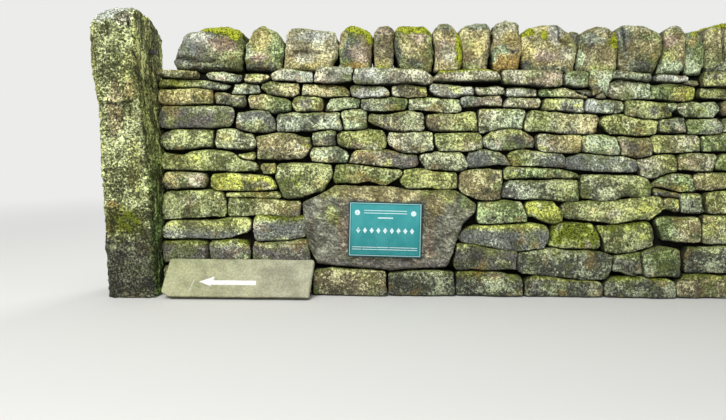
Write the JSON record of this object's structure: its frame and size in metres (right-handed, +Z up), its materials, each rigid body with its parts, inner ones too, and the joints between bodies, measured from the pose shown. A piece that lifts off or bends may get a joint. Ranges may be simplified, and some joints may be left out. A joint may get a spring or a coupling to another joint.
{
  "type": "dry stone wall with gatepost",
  "caption": "Length of dry stone boundary wall with battered skins, cover course and upright cope, a stone gatepost, a plaque stone and a leaning sign slab.",
  "frame": {"origin": "middle of the wall's length and width at its base, on the ground", "axes": "+X along the wall, away from the gatepost, to the right as seen from the front; +Z up; the front face with the plaque looks toward -Y"},
  "size_m": [3.91, 0.7958, 1.53],
  "materials": {
    "wall_stone": "weathered gritstone with pale lichen flakes and dark joints",
    "hearting_stone": "dark shaded rubble",
    "cope_stone": "rounded weathered gritstone with moss on top",
    "gatepost_stone": "rough hewn gritstone, pitted, with lichen and a mossy foot",
    "face_stone": "brown weathered gritstone",
    "slab_stone": "pale riven sandstone with a white painted arrow",
    "plaque_enamel": "teal paint with a pale line round the rim",
    "old_iron": "rusted"
  },
  "bodies": {
    "root": {"back_course_1": "wall_stone", "back_course_2": "wall_stone", "back_course_3": "wall_stone", "back_course_4": "wall_stone", "back_course_5": "wall_stone", "back_course_6": "wall_stone", "back_course_7": "wall_stone", "back_course_8": "wall_stone", "back_course_9": "wall_stone", "cope_01": "cope_stone", "cope_02": "cope_stone", "cope_03": "cope_stone", "cope_04": "cope_stone", "cope_05": "cope_stone", "cope_06": "cope_stone", "cope_07": "cope_stone", "cope_08": "cope_stone", "cope_09": "cope_stone", "cope_10": "cope_stone", "cope_11": "cope_stone", "cope_12": "cope_stone", "cope_13": "cope_stone", "cope_14": "cope_stone", "cope_15": "cope_stone", "cope_16": "cope_stone", "cover_course": "wall_stone", "face_stone": "face_stone", "footing_back": "wall_stone", "footing_front": "wall_stone", "front_course_1": "wall_stone", "front_course_2": "wall_stone", "front_course_3": "wall_stone", "front_course_4": "wall_stone", "front_course_5": "wall_stone", "front_course_6": "wall_stone", "front_course_7": "wall_stone", "front_course_8": "wall_stone", "front_course_9": "wall_stone", "gatepost": "gatepost_stone", "gatepost_iron": "old_iron", "hearting": "hearting_stone", "left_headers": "wall_stone", "plaque": "plaque_enamel", "right_headers": "wall_stone", "sign_slab": "slab_stone"}
  },
  "joints": []
}
